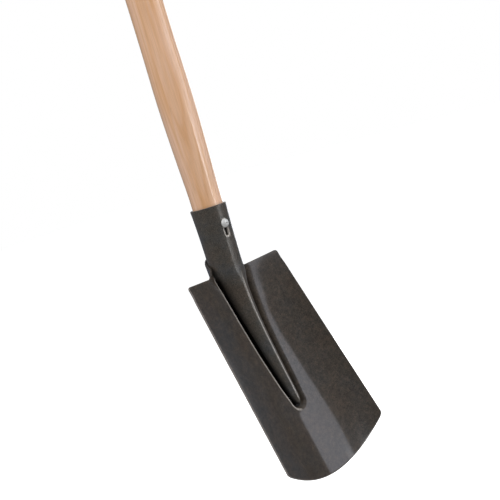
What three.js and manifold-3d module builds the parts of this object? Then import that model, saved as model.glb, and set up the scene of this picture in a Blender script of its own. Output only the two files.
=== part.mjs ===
// Garden spade with a wooden T-grip: a pressed and dished steel blade, a tapered
// steel socket whose nose lies in the blade's recess, an ash shaft driven into
// the socket and held by a screw in a slot, and a turned crosspiece that sits on
// the shaft's wedged and pinned tenon.
//
// Millimetres, +Z up along the shaft. The front (the dished, soil-carrying side)
// faces -Y, and +X is to the right when the front is looked at. The origin is at
// the bottom centre of the whole spade's bounding box.
import * as THREE from "three";
import { mergeVertices } from "three/addons/utils/BufferGeometryUtils.js";
import Module from "manifold-3d";

// ---------------------------------------------------------------- dimensions
const TOTAL_LENGTH = 1100; // blade tip to the top of the T-grip
const SHOULDER_Z = 238.24; // the blade's shoulder line on the shaft axis, above the origin
const AXIS_Y = 30.324; // the shaft axis behind the origin
const TOP_Z = TOTAL_LENGTH - SHOULDER_Z; // top of the grip above the shoulder line

// Blade: a sheet dished across its width and cranked forwards from the shaft.
const SHEET = 2.0; // thickness
const CRANK = THREE.MathUtils.degToRad(16.62);
const FACE_OFFSET = 0.6; // the sheet's middle in front of the shaft axis at the shoulders
const WIDTH_TOP = 151.6;
const WIDTH_BOTTOM = 174.8;
const SIDE_LENGTH = 222; // shoulder line to the lower corners
const ARC_RISE = 26.5; // how far the cutting edge bulges below its corners
const EDGE_TOP = 10.2; // how far the side edges stand in front of the shoulder plane
const EDGE_BOTTOM = 19.3;
// How far the edges stand in front of the sheet's middle, and the shape of that rise
// by distance v below the shoulder line: a small number gives flat wings that meet in
// a bend, a large one gives a parabola.
const DISH = [[-26, 9.6], [-12, 10.4], [0, 11.2], [20, 12.9], [41, 15.3], [69, 18.3], [104, 19.6], [142, 19.6], [165, 19.4], [205, 19.2], [250, 20.4]];
const DISH_C = [[-26, 36], [0, 40], [10, 46], [20, 62], [30, 100], [50, 150], [250, 300]];
const CORNER_R = 4;
const LIP = 24.0; // the tongue behind the socket rises this far above the shoulder line
// The tongue's outline by distance across from the middle; its left fillet is wider.
const TONGUE = [[-90, 0], [-35, 0], [-33, 0.5], [-30.5, 2.1], [-27, 5.0], [-23.5, 8.4], [-20, 12.0], [-16, 16.5], [-12, 20.6], [-6, 23.4], [0, 24.0], [6, 23.4], [12, 20.6], [16, 16.0], [19, 11.0], [21, 7.5], [23, 4.2], [25, 1.6], [27, 0.3], [29, 0], [90, 0]];

// Recess that is pressed backwards out of the blade, by distance v below the
// shoulder line. Its end is a half circle.
const RECESS_END_V = 161.2;
const RECESS_HALF_WIDTH = [[-26, 22.0], [-2, 22.1], [1, 23.3], [4.5, 25.3], [10, 25.0], [20, 23.9], [41, 21.4], [69, 18.2], [104, 15.9], [142, 12.9], [157.5, 10.6], [161.2, 10.2]];
const RECESS_DEPTH = [[-26, 14.25], [-20, 15.95], [-14, 17.6], [-8, 19.05], [-2.75, 20.25], [2, 20.1], [10, 17.9], [20, 14.7], [30, 12.7], [40, 11.3], [60, 9.6], [80, 8.3], [100, 7.4], [125, 6.4], [162, 5.4]];
const RECESS_POWER = [[-26, 2.8], [-4, 2.85], [20, 3.2], [50, 4.5], [100, 5.5], [175, 5.5]];
const RECESS_RIM_R = [[-26, 2.6], [-3, 2.6], [4, 1.6], [20, 1.2], [60, 1.0], [175, 0.9]];

// Socket: a tube around the shaft, then a flattening, tapering nose in the recess.
const SOCKET_MOUTH_Z = 75.6;
const SOCKET_R = [[0, 19.0], [20, 19.1], [35, 19.25], [50, 19.55], [63, 20.0], [71, 20.35], [75.6, 20.6]];
const SOCKET_WALL_MOUTH = 2.75;
const SOCKET_WALL = 2.2;
const NOSE_CREST = [[8, 18.0], [15, 16.1], [26, 13.6], [40, 10.7], [56, 8.3], [70, 6.8], [89, 5.3], [104, 4.4], [122, 3.5], [139, 2.8], [155, 2.1], [160, 1.6], [163, 0.6], [164.6, -0.9]];
const NOSE_HALF_WIDTH = [[0, 19], [10, 18.6], [26, 17.0], [40, 15.4], [56, 13.4], [80, 11.2], [104, 9.7], [130, 8.1], [150, 6.7], [157, 5.9], [161, 4.6], [164.6, 2.2]];
const NOSE_WIDEST_W = [[0, 0], [10, -0.4], [26, -1.8], [56, -3.6], [100, -4.2], [130, -3.8], [165, -2.8]];
const RIDGE = [[6, 0], [26, 0.72], [175, 0.72]]; // how far the nose's section is a rounded ridge, not an ellipse
const RIDGE_C = 5.0; // the ridge's crest radius
const GAP = 0.3; // between pieces that touch

// Slot and screw on the socket's front.
const SCREW_Z = 53.9;
const SLOT_TURN = THREE.MathUtils.degToRad(-7); // the slot and its screw sit slightly left of the front
const SLOT_HALF_WIDTH = 2.3;
const SLOT_TOP_Z = 55.4;
const SLOT_BOTTOM_Z = 42.0; // centres of the slot's round ends
const SCREW_HEAD_R = 5.0;
const SCREW_HEAD_H = 3.0;
const SCREW_SHANK_R = 2.0;
const SCREW_LENGTH = 24;

// Shaft: radius by height above the shoulder line.
const SHAFT_END_Z = -1;
const SHAFT_R = [[2, 15.4], [20, 15.9], [40, 16.3], [60, 16.7], [75.6, 17.45], [90, 17.5], [101, 17.8], [117, 18.35], [133, 18.9], [149, 19.4], [165, 19.8], [181, 20.15], [200, 20.35], [213, 20.3], [229, 20.1], [244, 19.9], [260, 19.7], [290, 19.6], [400, 19.5], [600, 19.2], [720, 18.8], [780, 17.9], [815, 16.4], [836, 15.5]];

// T-grip: a turned crosspiece along X.
const GRIP_R = 17.5;
const GRIP_HALF_LENGTH = 60;
const GRIP_PROFILE = [[0, 17.5], [14, 17.45], [28, 17.1], [40, 16.5], [50, 15.8], [55, 15.2], [57.6, 14.1], [59.3, 12.3], [60, 10.2]];
const GRIP_Z = TOP_Z - GRIP_R;
const TENON_R = 11.7;
const WEDGE_TOP_T = 3.2; // the wedge's thickness at its head and at its tip
const WEDGE_TIP_T = 0.9;
const WEDGE_DEPTH = 26;
const PIN_R = 2.0;
const PIN_X = 6.5;
const PIN_HALF_LENGTH = 16.4;

// ------------------------------------------------------------------- helpers
// A smooth curve through [x, y] points that never overshoots them.
function curve(points) {
  const n = points.length;
  const d = [];
  for (let i = 0; i < n - 1; i++) d.push((points[i + 1][1] - points[i][1]) / (points[i + 1][0] - points[i][0]));
  const m = [d[0]];
  for (let i = 1; i < n - 1; i++) m.push(d[i - 1] * d[i] <= 0 ? 0 : (2 * d[i - 1] * d[i]) / (d[i - 1] + d[i]));
  m.push(d[n - 2]);
  return (x) => {
    if (x <= points[0][0]) return points[0][1];
    if (x >= points[n - 1][0]) return points[n - 1][1];
    let i = 0;
    while (x > points[i + 1][0]) i++;
    const h = points[i + 1][0] - points[i][0];
    const t = (x - points[i][0]) / h;
    return (
      (2 * t ** 3 - 3 * t ** 2 + 1) * points[i][1] + (t ** 3 - 2 * t ** 2 + t) * h * m[i] +
      (-2 * t ** 3 + 3 * t ** 2) * points[i + 1][1] + (t ** 3 - t ** 2) * h * m[i + 1]
    );
  };
}

const halfWidth = curve(RECESS_HALF_WIDTH);
const depth = curve(RECESS_DEPTH);
const power = curve(RECESS_POWER);
const rimR = curve(RECESS_RIM_R);
const socketR = curve(SOCKET_R);
const crest = curve(NOSE_CREST);
const noseHalfWidth = curve(NOSE_HALF_WIDTH);
const widestW = curve(NOSE_WIDEST_W);
const dish = curve(DISH);
const dishC = curve(DISH_C);
const tongue = curve(TONGUE);
const ridge = curve(RIDGE);

// A point of the cranked blade's own frame: u across, v down the blade from the
// shoulder line, w towards the front.
const DOWN = new THREE.Vector3(0, -Math.sin(CRANK), -Math.cos(CRANK));
const FRONT = new THREE.Vector3(0, -Math.cos(CRANK), Math.sin(CRANK));
const bladePoint = (u, v, w) => new THREE.Vector3(u, 0, 0).addScaledVector(DOWN, v).addScaledVector(FRONT, w);
const bladeWidth = (v) => WIDTH_TOP + ((WIDTH_BOTTOM - WIDTH_TOP) * v) / SIDE_LENGTH;

// The dished sheet's level on its centreline, before the recess.
const centreW = (v) => FACE_OFFSET + EDGE_TOP + ((EDGE_BOTTOM - EDGE_TOP) * v) / SIDE_LENGTH - dish(v);

// The middle of the blade's sheet: a dish minus the pressed recess.
function sheetW(u, v) {
  const c = dishC(v);
  const rise = (Math.hypot(u, c) - c) / (Math.hypot(bladeWidth(v) / 2, c) - c);
  const a = halfWidth(v);
  const inside = v < RECESS_END_V ? a - Math.abs(u) : a - Math.hypot(u, v - RECESS_END_V);
  const r = rimR(v);
  const soft = (inside + Math.hypot(inside, r)) / 2;
  const x = Math.max(0, 1 - soft / a);
  return centreW(v) + dish(v) * rise - depth(v) * (1 - x ** power(v));
}

// A closed body from a vertex list and triangles.
function body(vertices, triangles) {
  const g = new THREE.BufferGeometry();
  g.setAttribute("position", new THREE.Float32BufferAttribute(vertices.flatMap((p) => [p.x, p.y, p.z]), 3));
  g.setIndex(triangles.flat());
  g.computeVertexNormals();
  return g;
}

const wasm = await Module();
wasm.setup();
function solid(geometry) {
  const g = geometry.clone();
  g.deleteAttribute("normal");
  g.deleteAttribute("uv");
  const m = mergeVertices(g, 1e-4);
  return new wasm.Manifold(new wasm.Mesh({
    numProp: 3,
    vertProperties: new Float32Array(m.attributes.position.array),
    triVerts: new Uint32Array(m.index.array),
  }));
}
function geometryOf(manifold) {
  const m = manifold.getMesh();
  const g = new THREE.BufferGeometry();
  g.setAttribute("position", new THREE.BufferAttribute(new Float32Array(m.vertProperties), 3));
  g.setIndex(new THREE.BufferAttribute(new Uint32Array(m.triVerts), 1));
  g.computeVertexNormals();
  return g;
}
const cylinderX = (r, length, x, y, z, n = 48) => new THREE.CylinderGeometry(r, r, length, n).rotateZ(Math.PI / 2).translate(x, y, z);
const cylinderY = (r, y0, y1, x, z, n = 20) => new THREE.CylinderGeometry(r, r, y1 - y0, n).translate(x, (y0 + y1) / 2, z);
const cylinderZ = (r, z0, z1, n = 40) => new THREE.CylinderGeometry(r, r, z1 - z0, n).rotateX(Math.PI / 2).translate(0, 0, (z0 + z1) / 2);
// A lathe body around Z from [radius, z] points that start and end on the axis, lowest first.
const latheZ = (points, n = 36) => new THREE.LatheGeometry(points.map(([r, z]) => new THREE.Vector2(r, z)), n).rotateX(Math.PI / 2);

// --------------------------------------------------------------------- blade
function bladeGeometry() {
  // Columns: fractions of the recess's half width, then fractions of the wing.
  const inner = [0, 0.28, 0.5, 0.66, 0.78, 0.87, 0.93, 0.975, 1.02, 1.08, 1.18, 1.33];
  const wing = [0.22, 0.48, 0.74, 0.9, 0.96, 1];
  const half = [...inner.map((x) => ["x", x]), ...wing.map((f) => ["f", f])];
  const columns = [...half.slice(1).reverse().map(([k, x]) => [k, x, -1]), ...half.map(([k, x]) => [k, x, 1])];
  const rows = [-24, -20, -15.5, -11, -7, -3, 1, 5, 9, 14, 20, 30, 42, 56, 72, 90, 108, 126, 141, 151, 157.5, 162, 165.5, 168, 170, 172, 175, 182, 192, 202, 211, 217.5, 220, 222];
  const lipTop = (u) => -tongue(u);
  const uv = (row, [kind, x, side]) => {
    const a = halfWidth(row);
    const edge = bladeWidth(Math.max(row, 0)) / 2;
    const u = side * (kind === "x" ? x * a : 1.33 * a + x * (edge - 1.33 * a));
    let v = row;
    if (row < 20) v = lipTop(u) + ((20 - lipTop(u)) * (row + LIP)) / (20 + LIP);
    const bottom = SIDE_LENGTH + ARC_RISE * (1 - ((2 * u) / WIDTH_BOTTOM) ** 2);
    if (row > 175) v = 175 + ((bottom - 175) * (row - 175)) / (SIDE_LENGTH - 175);
    // Rounded corners: the square patch at each corner becomes a quarter disc.
    const du = edge - Math.abs(u);
    const top = v < 100;
    const dv = top ? v - lipTop(u) : bottom - v;
    if (du < CORNER_R && dv < CORNER_R) {
      const p = (CORNER_R - du) / CORNER_R;
      const q = (CORNER_R - dv) / CORNER_R;
      const p2 = p * Math.sqrt(1 - (q * q) / 2);
      const q2 = q * Math.sqrt(1 - (p * p) / 2);
      return [side * (edge - CORNER_R + p2 * CORNER_R), top ? lipTop(u) + CORNER_R - q2 * CORNER_R : bottom - CORNER_R + q2 * CORNER_R];
    }
    return [u, v];
  };
  const at = (u, v) => bladePoint(u, v, sheetW(u, v));
  const front = [];
  const back = [];
  for (const row of rows) {
    for (const column of columns) {
      const [u, v] = uv(row, column);
      const e = 0.05;
      const du = at(u + e, v).sub(at(u - e, v));
      const dv = at(u, v + e).sub(at(u, v - e));
      const normal = dv.cross(du).normalize(); // towards the front
      if (normal.dot(FRONT) < 0) normal.negate();
      front.push(at(u, v).addScaledVector(normal, SHEET / 2));
      back.push(at(u, v).addScaledVector(normal, -SHEET / 2));
    }
  }
  const C = columns.length;
  const R = rows.length;
  const N = R * C;
  const tris = [];
  const quad = (a, b, c, d) => tris.push([a, b, c], [a, c, d]);
  for (let i = 0; i < R - 1; i++) {
    for (let j = 0; j < C - 1; j++) {
      const a = i * C + j, b = a + 1, c = b + C, d = a + C;
      quad(a, d, c, b);
      quad(N + a, N + b, N + c, N + d);
    }
  }
  for (let j = 0; j < C - 1; j++) {
    const a = j, b = j + 1;
    quad(a, b, N + b, N + a);
    const c = (R - 1) * C + j, d = c + 1;
    quad(d, c, N + c, N + d);
  }
  for (let i = 0; i < R - 1; i++) {
    const a = i * C, b = a + C;
    quad(b, a, N + a, N + b);
    const c = a + C - 1, d = c + C;
    quad(c, d, N + d, N + c);
  }
  return body([...front, ...back], tris);
}

// -------------------------------------------------------------------- socket
// A ring of points: half width b, reach to the front and to the back; m turns its
// front half from an ellipse into a rounded ridge.
function ring(centre, forward, b, toFront, toBack, m = 0, n = 32) {
  const points = [];
  const top = Math.hypot(b, RIDGE_C) - RIDGE_C;
  for (let k = 0; k < n; k++) {
    const t = (2 * Math.PI * k) / n;
    const peak = 1 - (Math.hypot(b * Math.sin(t), RIDGE_C) - RIDGE_C) / top;
    const f = Math.cos(t) > 0 ? toFront * ((1 - m) * Math.cos(t) + m * peak) : toBack * Math.cos(t);
    points.push(new THREE.Vector3(b * Math.sin(t), 0, 0).add(centre).addScaledVector(forward, f));
  }
  return points;
}
const upright = (z, r) => ring(new THREE.Vector3(0, 0, z), new THREE.Vector3(0, -1, 0), r, r, r);
const knee = (r) => ring(new THREE.Vector3(), new THREE.Vector3(0, -Math.cos(CRANK / 2), Math.sin(CRANK / 2)), r, r, r);
const noseBack = (v) => centreW(v) - depth(v) + SHEET / 2 + GAP;
function nose(v, inset, shrink = 1) {
  const w = widestW(v);
  return ring(bladePoint(0, v, w), FRONT, (noseHalfWidth(v) - inset) * shrink, (crest(v) - w - inset) * shrink, (w - noseBack(v) - inset) * shrink, ridge(v));
}

function socketGeometry() {
  const outer = [
    ...[75.6, 71, 63, 50, 35, 20, 10].map((z) => upright(z, socketR(z))),
    knee(19.0),
    ...[10, 18, 28, 40, 54, 70, 88, 106, 124, 140, 152, 158, 161, 163.2, 164.6].map((v) => nose(v, 0)),
  ];
  const wall = (z) => SOCKET_WALL + ((SOCKET_WALL_MOUTH - SOCKET_WALL) * z) / SOCKET_MOUTH_Z;
  const bore = [
    ...[75.6, 63, 50, 35, 20, 10].map((z) => upright(z, socketR(z) - wall(z))),
    knee(19.0 - SOCKET_WALL),
    ...[10, 18, 28, 40].map((v) => nose(v, SOCKET_WALL)),
    nose(50, SOCKET_WALL, 0.6),
  ];
  const n = outer[0].length;
  const vertices = [...outer.flat(), ...bore.flat()];
  const tip = vertices.push(bladePoint(0, 165.2, -2.4)) - 1;
  const blind = vertices.push(bladePoint(0, 53, widestW(53) + 1)) - 1;
  const B = outer.length * n;
  const tris = [];
  for (let k = 0; k < n; k++) {
    const l = (k + 1) % n;
    for (let i = 0; i < outer.length - 1; i++) {
      const a = i * n + k, b = i * n + l, c = (i + 1) * n + l, d = (i + 1) * n + k;
      tris.push([a, c, b], [a, d, c]);
    }
    const last = (outer.length - 1) * n;
    tris.push([last + l, last + k, tip]);
    for (let i = 0; i < bore.length - 1; i++) {
      const a = B + i * n + k, b = B + i * n + l, c = B + (i + 1) * n + l, d = B + (i + 1) * n + k;
      tris.push([a, b, c], [a, c, d]);
    }
    const end = B + (bore.length - 1) * n;
    tris.push([end + k, end + l, blind]);
    tris.push([k, l, B + l], [k, B + l, B + k]); // the mouth's rim
  }
  const tube = body(vertices, tris);
  // The slot for the screw, cut through the front wall.
  const s = new THREE.Shape();
  s.absarc(0, SLOT_TOP_Z, SLOT_HALF_WIDTH, 0, Math.PI, false);
  s.absarc(0, SLOT_BOTTOM_Z, SLOT_HALF_WIDTH, Math.PI, 2 * Math.PI, false);
  const cutter = new THREE.ExtrudeGeometry(s, { depth: 12, bevelEnabled: false, curveSegments: 8 }).rotateX(Math.PI / 2).translate(0, -13, 0).rotateZ(SLOT_TURN);
  return geometryOf(solid(tube).subtract(solid(cutter)));
}

// -------------------------------------------------------------- socket screw
const SCREW_SEAT_Y = -(socketR(SCREW_Z) + GAP);
function screwGeometry() {
  // Drawn around Z with the head up, then turned to point forwards (-Y).
  const points = [
    [0, -SCREW_LENGTH], [0.6, -SCREW_LENGTH + 0.8], [SCREW_SHANK_R, -SCREW_LENGTH + 5], [SCREW_SHANK_R, 0], [SCREW_HEAD_R - 0.3, 0],
    [SCREW_HEAD_R, 0.5], [SCREW_HEAD_R * 0.94, 1.3], [SCREW_HEAD_R * 0.76, 2.2], [SCREW_HEAD_R * 0.45, 2.8], [0, SCREW_HEAD_H],
  ];
  return latheZ(points, 24).rotateX(Math.PI / 2).translate(0, SCREW_SEAT_Y, SCREW_Z).rotateZ(SLOT_TURN);
}

// --------------------------------------------------------------------- shaft
const wedgeShape = (grow) => {
  const top = TOP_Z + 2;
  const tipZ = TOP_Z - WEDGE_DEPTH - grow;
  const slope = (WEDGE_TOP_T - WEDGE_TIP_T) / 2 / WEDGE_DEPTH;
  const t = (z) => WEDGE_TIP_T / 2 + slope * (z - (TOP_Z - WEDGE_DEPTH)) + grow;
  const s = new THREE.Shape();
  s.moveTo(-t(tipZ), tipZ);
  s.lineTo(t(tipZ), tipZ);
  s.lineTo(t(top), top);
  s.lineTo(-t(top), top);
  s.closePath();
  return new THREE.ExtrudeGeometry(s, { depth: 40, bevelEnabled: false }).rotateX(Math.PI / 2).translate(0, 20, 0);
};

function shaftGeometry() {
  const points = [[0, SHAFT_END_Z], [13.2, SHAFT_END_Z], ...SHAFT_R.map(([z, r]) => [r, z]), [0, SHAFT_R[SHAFT_R.length - 1][0]]];
  const round = solid(latheZ(points, 36)).subtract(solid(cylinderX(GRIP_R + GAP, 60, 0, 0, GRIP_Z)));
  const tenon = solid(cylinderZ(TENON_R, GRIP_Z - 34, TOP_Z + 2, 36));
  const cap = tenon.intersect(solid(cylinderX(GRIP_R - 0.1, 60, 0, 0, GRIP_Z)));
  const neck = solid(cylinderZ(TENON_R, GRIP_Z - 34, GRIP_Z - 2, 36));
  return geometryOf(
    round.add(neck).add(cap)
      .subtract(solid(wedgeShape(GAP)))
      .subtract(solid(cylinderY(PIN_R + GAP, -30, 30, PIN_X, GRIP_Z)))
      .subtract(solid(cylinderY(SCREW_SHANK_R + GAP, -30, SCREW_SEAT_Y + SCREW_LENGTH + 2, 0, SCREW_Z).rotateZ(SLOT_TURN))),
  );
}

function wedgeGeometry() {
  const round = solid(cylinderZ(TENON_R, TOP_Z - 40, TOP_Z + 2, 36));
  return geometryOf(solid(wedgeShape(0)).intersect(round).intersect(solid(cylinderX(GRIP_R - 0.1, 60, 0, 0, GRIP_Z))));
}

// -------------------------------------------------------------------- T-grip
function gripGeometry() {
  const side = GRIP_PROFILE.map(([x, r]) => [r, x]);
  const points = [[0, -GRIP_HALF_LENGTH], ...side.slice(1).reverse().map(([r, x]) => [r, -x]), ...side, [0, GRIP_HALF_LENGTH]];
  const turned = latheZ(points, 40).rotateY(Math.PI / 2).translate(0, 0, GRIP_Z);
  return geometryOf(
    solid(turned)
      .subtract(solid(cylinderZ(TENON_R + GAP, GRIP_Z - 30, TOP_Z + 10, 36)))
      .subtract(solid(cylinderY(PIN_R + GAP, -30, 30, PIN_X, GRIP_Z))),
  );
}
const pinGeometry = () => cylinderY(PIN_R, -PIN_HALF_LENGTH, PIN_HALF_LENGTH, PIN_X, GRIP_Z, 20);

// ------------------------------------------------------------------ assembly
const lacquer = new THREE.MeshStandardMaterial({ color: 0x35322e, roughness: 0.42, metalness: 0.7 });
const zinc = new THREE.MeshStandardMaterial({ color: 0xb9bcbc, roughness: 0.35, metalness: 0.95 });
const ash = new THREE.MeshStandardMaterial({ color: 0xd9b08c, roughness: 0.5, metalness: 0 });
const oak = new THREE.MeshStandardMaterial({ color: 0xa97c50, roughness: 0.6, metalness: 0 });

const spade = new THREE.Group();
spade.position.set(0, AXIS_Y, SHOULDER_Z);
for (const [name, geometry, material] of [
  ["blade", bladeGeometry(), lacquer],
  ["socket", socketGeometry(), lacquer],
  ["socket_screw", screwGeometry(), zinc],
  ["shaft", shaftGeometry(), ash],
  ["t_grip", gripGeometry(), ash],
  ["tenon_wedge", wedgeGeometry(), oak],
  ["grip_pin", pinGeometry(), zinc],
]) {
  const mesh = new THREE.Mesh(geometry, material);
  mesh.name = name;
  spade.add(mesh);
}

export default spade;
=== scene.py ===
"""Garden spade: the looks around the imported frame. Blender 4.5, metres, +Z up, front towards -Y."""

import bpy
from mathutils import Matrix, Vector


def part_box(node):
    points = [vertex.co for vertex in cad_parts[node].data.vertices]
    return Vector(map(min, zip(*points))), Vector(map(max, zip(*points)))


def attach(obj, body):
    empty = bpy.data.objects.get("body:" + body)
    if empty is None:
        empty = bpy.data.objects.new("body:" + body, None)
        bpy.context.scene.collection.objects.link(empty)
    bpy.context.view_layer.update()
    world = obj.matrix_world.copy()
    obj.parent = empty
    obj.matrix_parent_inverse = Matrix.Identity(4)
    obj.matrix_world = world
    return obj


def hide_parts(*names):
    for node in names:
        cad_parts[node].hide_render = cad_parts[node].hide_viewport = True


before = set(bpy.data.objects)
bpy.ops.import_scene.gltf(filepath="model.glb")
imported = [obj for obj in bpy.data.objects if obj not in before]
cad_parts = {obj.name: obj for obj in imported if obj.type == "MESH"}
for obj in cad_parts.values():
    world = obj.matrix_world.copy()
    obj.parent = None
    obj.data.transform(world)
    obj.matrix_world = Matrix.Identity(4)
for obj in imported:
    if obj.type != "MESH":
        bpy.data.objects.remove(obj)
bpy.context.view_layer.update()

import math

import bmesh
import bpy
import numpy as np
from mathutils import Matrix, Vector

MM = 0.001
scene = bpy.context.scene

# ---------------------------------------------------------------- the frame
# The shaft's axis and the blade's shoulder line, from the CAD nodes.
shaft_lo, shaft_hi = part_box("shaft")
socket_lo, socket_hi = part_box("socket")
grip_lo, grip_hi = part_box("t_grip")
screw_lo, screw_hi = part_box("socket_screw")
MOUTH_Z = 75.6  # the socket's mouth above the shoulder line, mm
ORIGIN = Vector((0, (shaft_lo.y + shaft_hi.y) / 2, socket_hi.z - MOUTH_Z * MM))
TOP_Z = (grip_hi.z - ORIGIN.z) / MM + 0.04
SCREW_Z = ((screw_lo.z + screw_hi.z) / 2 - ORIGIN.z) / MM

# --------------------------------------------------------------- dimensions, mm
SHEET = 2.0
CRANK = math.radians(16.62)
FACE_OFFSET = 0.6
WIDTH_TOP, WIDTH_BOTTOM = 151.6, 174.8
SIDE_LENGTH, ARC_RISE = 222.0, 26.5
EDGE_TOP, EDGE_BOTTOM = 10.2, 19.3  # how far the side edges stand in front of the shoulder plane
DISH_C = [[-26, 36], [0, 40], [10, 46], [20, 62], [30, 100], [50, 150], [250, 300]]  # small: flat wings, large: a parabola
DISH = [[-26, 9.6], [-12, 10.4], [0, 11.2], [20, 12.9], [41, 15.3], [69, 18.3], [104, 19.6], [142, 19.6], [165, 19.4], [205, 19.2], [250, 20.4]]
CORNER_R = 4.0
LIP = 24.0
RECESS_END_V = 161.2
RECESS_HALF_WIDTH = [[-26, 22.0], [-2, 22.1], [1, 23.3], [4.5, 25.3], [10, 25.0], [20, 23.9], [41, 21.4], [69, 18.2], [104, 15.9], [142, 12.9], [157.5, 10.6], [161.2, 10.2]]
RECESS_DEPTH = [[-26, 14.25], [-20, 15.95], [-14, 17.6], [-8, 19.05], [-2.75, 20.25], [2, 20.1], [10, 17.9], [20, 14.7], [30, 12.7], [40, 11.3], [60, 9.6], [80, 8.3], [100, 7.4], [125, 6.4], [162, 5.4]]
RECESS_POWER = [[-26, 2.8], [-4, 2.85], [20, 3.2], [50, 4.5], [100, 5.5], [175, 5.5]]
RECESS_RIM_R = [[-26, 2.6], [-3, 2.6], [4, 1.6], [20, 1.2], [60, 1.0], [175, 0.9]]
SOCKET_R = [[0, 19.0], [20, 19.1], [35, 19.25], [50, 19.55], [63, 20.0], [71, 20.35], [75.6, 20.6]]
WALL_MOUTH, WALL = 2.75, 2.2
NOSE_CREST = [[8, 18.0], [15, 16.1], [26, 13.6], [40, 10.7], [56, 8.3], [70, 6.8], [89, 5.3], [104, 4.4], [122, 3.5], [139, 2.8], [155, 2.1], [160, 1.6], [163, 0.6], [164.6, -0.9]]
NOSE_HALF_WIDTH = [[0, 19], [10, 18.6], [26, 17.0], [40, 15.4], [56, 13.4], [80, 11.2], [104, 9.7], [130, 8.1], [150, 6.7], [157, 5.9], [161, 4.6], [164.6, 2.2]]
TONGUE = [[-90, 0], [-35, 0], [-33, 0.5], [-30.5, 2.1], [-27, 5.0], [-23.5, 8.4], [-20, 12.0], [-16, 16.5], [-12, 20.6], [-6, 23.4], [0, 24.0], [6, 23.4], [12, 20.6], [16, 16.0], [19, 11.0], [21, 7.5], [23, 4.2], [25, 1.6], [27, 0.3], [29, 0], [90, 0]]  # how far the sheet rises above the shoulders
NOSE_WIDEST_W = [[0, 0], [10, -0.4], [26, -1.8], [56, -3.6], [100, -4.2], [130, -3.8], [165, -2.8]]
RIDGE = [[6, 0], [26, 0.72], [175, 0.72]]  # how far the nose's section is a rounded ridge, not an ellipse
RIDGE_C = 5.0
GAP = 0.3
SLOT_R, SLOT_TOP, SLOT_BOTTOM = 2.3, 55.4, 42.0
SLOT_TURN = math.radians(-7)  # the slot and its screw sit slightly left of the front
SHAFT_END_Z = -1.0
SHAFT_R = [[2, 15.4], [20, 15.9], [40, 16.3], [60, 16.7], [75.6, 17.45], [90, 17.5], [101, 17.8], [117, 18.35], [133, 18.9], [149, 19.4], [165, 19.8], [181, 20.15], [200, 20.35], [213, 20.3], [229, 20.1], [244, 19.9], [260, 19.7], [290, 19.6], [400, 19.5], [600, 19.2], [720, 18.8], [780, 17.9], [815, 16.4], [836, 15.5]]
GRIP_R = 17.5
GRIP_PROFILE = [[0, 17.5], [14, 17.45], [28, 17.1], [40, 16.5], [50, 15.8], [55, 15.2], [57.6, 14.1], [59.3, 12.3], [60, 10.2]]
GRIP_Z = TOP_Z - GRIP_R
TENON_R = 11.7
WEDGE_TOP_T, WEDGE_TIP_T, WEDGE_DEPTH = 3.2, 0.9, 26.0
PIN_R, PIN_X, PIN_HALF = 2.0, 6.5, 16.4


# ------------------------------------------------------------------- helpers
def curve(points):
    """A smooth curve through the points that never overshoots them; takes numbers or arrays."""
    p = np.array(points, float)
    x, y = p[:, 0], p[:, 1]
    d = np.diff(y) / np.diff(x)
    m = np.empty(len(x))
    m[0], m[-1] = d[0], d[-1]
    for i in range(1, len(x) - 1):
        m[i] = 0 if d[i - 1] * d[i] <= 0 else 2 * d[i - 1] * d[i] / (d[i - 1] + d[i])

    def f(q):
        q = np.clip(np.asarray(q, float), x[0], x[-1])
        i = np.clip(np.searchsorted(x, q, side="right") - 1, 0, len(x) - 2)
        h = x[i + 1] - x[i]
        t = (q - x[i]) / h
        return (2 * t**3 - 3 * t**2 + 1) * y[i] + (t**3 - 2 * t**2 + t) * h * m[i] + (-2 * t**3 + 3 * t**2) * y[i + 1] + (t**3 - t**2) * h * m[i + 1]

    return f


half_width, depth, power, rim_r = curve(RECESS_HALF_WIDTH), curve(RECESS_DEPTH), curve(RECESS_POWER), curve(RECESS_RIM_R)
socket_r, crest, nose_b, widest_w, tongue = curve(SOCKET_R), curve(NOSE_CREST), curve(NOSE_HALF_WIDTH), curve(NOSE_WIDEST_W), curve(TONGUE)
shaft_r, dish, dish_c, ridge = curve(SHAFT_R), curve(DISH), curve(DISH_C), curve(RIDGE)

DOWN = np.array([0, -math.sin(CRANK), -math.cos(CRANK)])
FRONT = np.array([0, -math.cos(CRANK), math.sin(CRANK)])


def blade_xyz(u, v, w):
    u, v, w = np.broadcast_arrays(np.asarray(u, float), np.asarray(v, float), np.asarray(w, float))
    out = v[..., None] * DOWN + w[..., None] * FRONT
    out[..., 0] += u
    return out


def blade_width(v):
    return WIDTH_TOP + (WIDTH_BOTTOM - WIDTH_TOP) * v / SIDE_LENGTH


def recess_inside(u, v):
    a = half_width(v)
    return np.where(v < RECESS_END_V, a - np.abs(u), a - np.hypot(u, v - RECESS_END_V))


def centre_w(v):
    """The dished sheet's level on its centreline, before the recess."""
    return FACE_OFFSET + EDGE_TOP + (EDGE_BOTTOM - EDGE_TOP) * v / SIDE_LENGTH - dish(v)


def sheet_w(u, v):
    inside = recess_inside(u, v)
    soft = (inside + np.hypot(inside, rim_r(v))) / 2
    x = np.maximum(0, 1 - soft / half_width(v))
    c = dish_c(v)
    rise = (np.hypot(u, c) - c) / (np.hypot(blade_width(v) / 2, c) - c)
    return centre_w(v) + dish(v) * rise - depth(v) * (1 - x ** power(v))


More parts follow.
